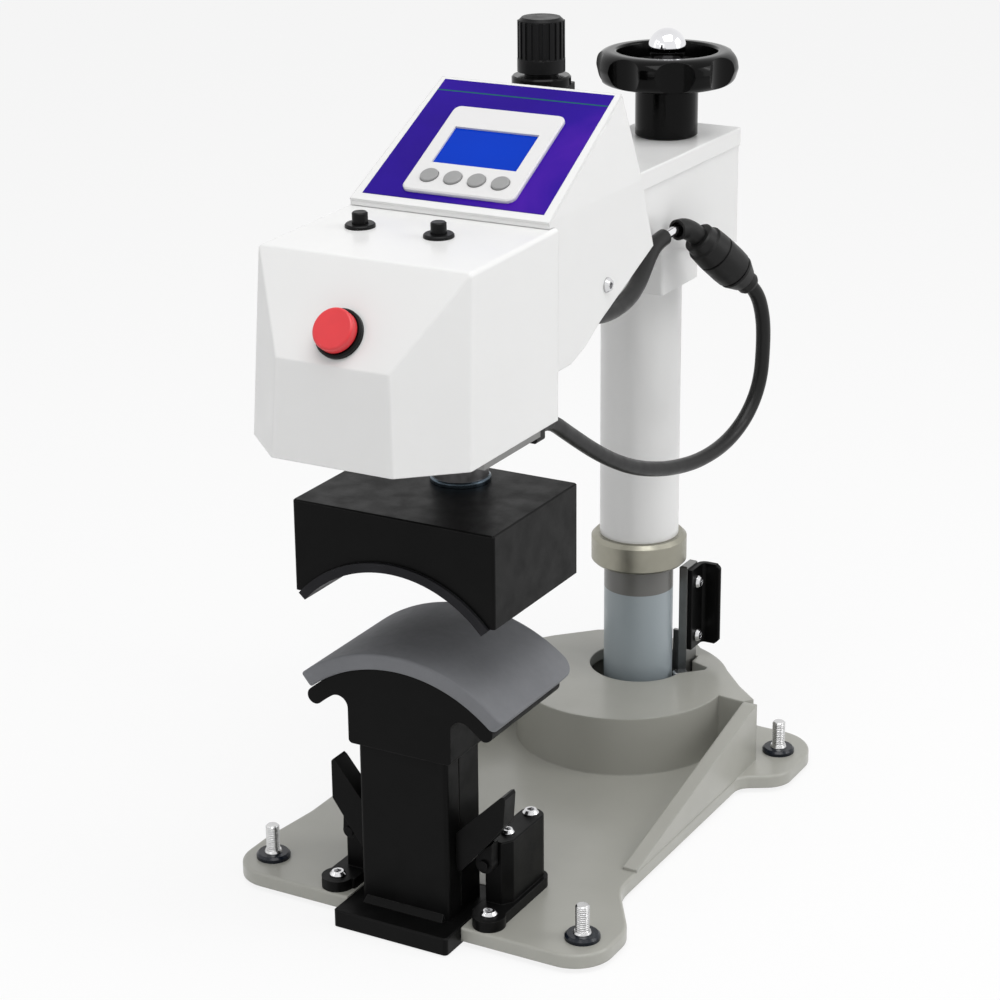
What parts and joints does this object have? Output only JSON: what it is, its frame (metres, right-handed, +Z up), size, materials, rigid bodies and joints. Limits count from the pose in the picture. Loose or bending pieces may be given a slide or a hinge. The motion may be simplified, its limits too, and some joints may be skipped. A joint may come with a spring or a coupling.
{
  "type": "cap heat press",
  "caption": "Swing-away press with a curved heated shoe above a curved padded cap platen, an adjustable arm on a column and a sloping control panel.",
  "frame": {"origin": "on the floor under the middle of the footprint, from the nose's front to the air spigot behind the arm", "axes": "+X to the operator's right, +Y away from the operator, +Z up; the operator stands at -Y"},
  "size_m": [0.292, 0.5433, 0.5881],
  "materials": {
    "casting_grey": "gloss",
    "foot_rubber": "matte",
    "black_gloss": "gloss",
    "zinc": "satin",
    "chrome": "polished",
    "post_steel": "satin",
    "steel_grey": "satin",
    "black_steel": "satin",
    "black_casting": "satin",
    "silicone": "matte",
    "white_paint": "gloss",
    "bronze": "satin",
    "black_plastic": "satin",
    "overlay_purple": "gloss",
    "bezel_grey": "satin",
    "lcd_blue": "gloss",
    "key_grey": "satin",
    "red_plastic": "gloss",
    "cable_black": "satin",
    "heater_black": "satin",
    "rod_steel": "polished"
  },
  "bodies": {
    "base": {"base_casting": "casting_grey", "rubber_feet": "foot_rubber", "foot_discs": "black_gloss", "levelling_studs": "zinc", "post": "post_steel", "post_flange": "steel_grey", "stop_bar": "steel_grey", "stop_bracket": "black_steel", "stop_fasteners": "chrome", "platen_guides": "black_steel", "platen_guide_screws": "chrome", "latch_pins": "zinc"},
    "latch_right": {"latch_lever_right": "black_steel"},
    "latch_left": {"latch_lever_left": "black_steel"},
    "platen": {"platen_foot": "black_steel", "platen_pillar": "black_steel", "platen_saddle": "black_casting", "silicone_pad": "silicone"},
    "swing": {"collar": "zinc", "sleeve_tube": "white_paint", "sleeve_bearings": "bronze", "clamp_block": "white_paint"},
    "head": {"arm": "white_paint", "arm_lid": "white_paint", "power_inlet_module": "black_plastic", "air_inlet_fitting": "bronze", "regulator_body": "black_plastic", "regulator_bonnet": "black_plastic", "nose_housing": "white_paint", "nose_underplate": "steel_grey", "button_collars": "black_plastic", "hood": "white_paint", "control_panel": "white_paint", "panel_overlay": "overlay_purple", "controller_bezel": "bezel_grey", "lcd": "lcd_blue", "hood_screws": "chrome", "air_cylinder": "steel_grey", "cable_gland": "black_plastic", "power_cable": "cable_black", "cable_plug": "black_plastic", "plug_elbow": "black_plastic", "hose_stub": "chrome", "panel_hose": "cable_black"},
    "switch_rocker": {"power_rocker": "black_plastic"},
    "wheel": {"handwheel": "black_gloss", "handwheel_ball": "chrome", "lift_screw": "zinc"},
    "pressure_knob": {"regulator_knob": "black_plastic"},
    "start_left": {"start_button_left": "black_plastic"},
    "start_right": {"start_button_right": "black_plastic"},
    "stop_button": {"stop_button_cap": "red_plastic"},
    "key_1": {"controller_key_1": "key_grey"},
    "key_2": {"controller_key_2": "key_grey"},
    "key_3": {"controller_key_3": "key_grey"},
    "key_4": {"controller_key_4": "key_grey"},
    "ram": {"piston_rod": "rod_steel", "rod_collar": "black_steel", "heater_block": "heater_black", "heating_shoe": "heater_black"}
  },
  "joints": [
    {"name": "head_swing", "type": "hinge", "parent": "base", "child": "swing", "pos_m": [0, 0.16285, 0.3], "axis": [0, 0, 1], "range_deg": [0, 90]},
    {"name": "head_lift", "type": "slide", "parent": "swing", "child": "head", "axis": [0, 0, 1], "range_m": [-0.004, 0.012]},
    {"name": "handwheel_turn", "type": "hinge", "parent": "head", "child": "wheel", "pos_m": [0, 0.20285, 0.5], "axis": [0, 0, 1], "range_deg": [-361, 1081]},
    {"name": "ram_press", "type": "slide", "parent": "head", "child": "ram", "axis": [0, 0, -1], "range_m": [0, 0.043]},
    {"name": "regulator_turn", "type": "hinge", "parent": "head", "child": "pressure_knob", "pos_m": [-0.0195, 0.04185, 0.565], "axis": [0, 0, 1], "range_deg": [-720, 720]},
    {"name": "platen_slide", "type": "slide", "parent": "base", "child": "platen", "axis": [0, -1, 0], "range_m": [0, 0.045]},
    {"name": "latch_right_turn", "type": "hinge", "parent": "base", "child": "latch_right", "pos_m": [0.0535, -0.17915, 0.055], "axis": [0, 1, 0], "range_deg": [0, 25]},
    {"name": "latch_left_turn", "type": "hinge", "parent": "base", "child": "latch_left", "pos_m": [-0.0535, -0.17915, 0.055], "axis": [0, -1, 0], "range_deg": [0, 25]},
    {"name": "start_left_press", "type": "slide", "parent": "head", "child": "start_left", "axis": [0, 0.0242, -0.9997], "range_m": [0, 0.003], "stiffness_N_per_m": 400},
    {"name": "start_right_press", "type": "slide", "parent": "head", "child": "start_right", "axis": [0, 0.0242, -0.9997], "range_m": [0, 0.003], "stiffness_N_per_m": 400},
    {"name": "stop_press", "type": "slide", "parent": "head", "child": "stop_button", "axis": [0, 0.7992, -0.6011], "range_m": [0, 0.003], "stiffness_N_per_m": 500},
    {"name": "rocker_tilt", "type": "hinge", "parent": "head", "child": "switch_rocker", "pos_m": [0, 0.24785, 0.424], "axis": [0, 0, 1], "range_deg": [0, 13]},
    {"name": "key_1_press", "type": "slide", "parent": "head", "child": "key_1", "axis": [0, 0.4772, -0.8788], "range_m": [0, 0.0008], "stiffness_N_per_m": 400},
    {"name": "key_2_press", "type": "slide", "parent": "head", "child": "key_2", "axis": [0, 0.4772, -0.8788], "range_m": [0, 0.0008], "stiffness_N_per_m": 400},
    {"name": "key_3_press", "type": "slide", "parent": "head", "child": "key_3", "axis": [0, 0.4772, -0.8788], "range_m": [0, 0.0008], "stiffness_N_per_m": 400},
    {"name": "key_4_press", "type": "slide", "parent": "head", "child": "key_4", "axis": [0, 0.4772, -0.8788], "range_m": [0, 0.0008], "stiffness_N_per_m": 400}
  ],
  "couplings": [
    {"joint": "handwheel_turn", "follows": "head_lift", "rad_per_m": 1570.8}
  ]
}
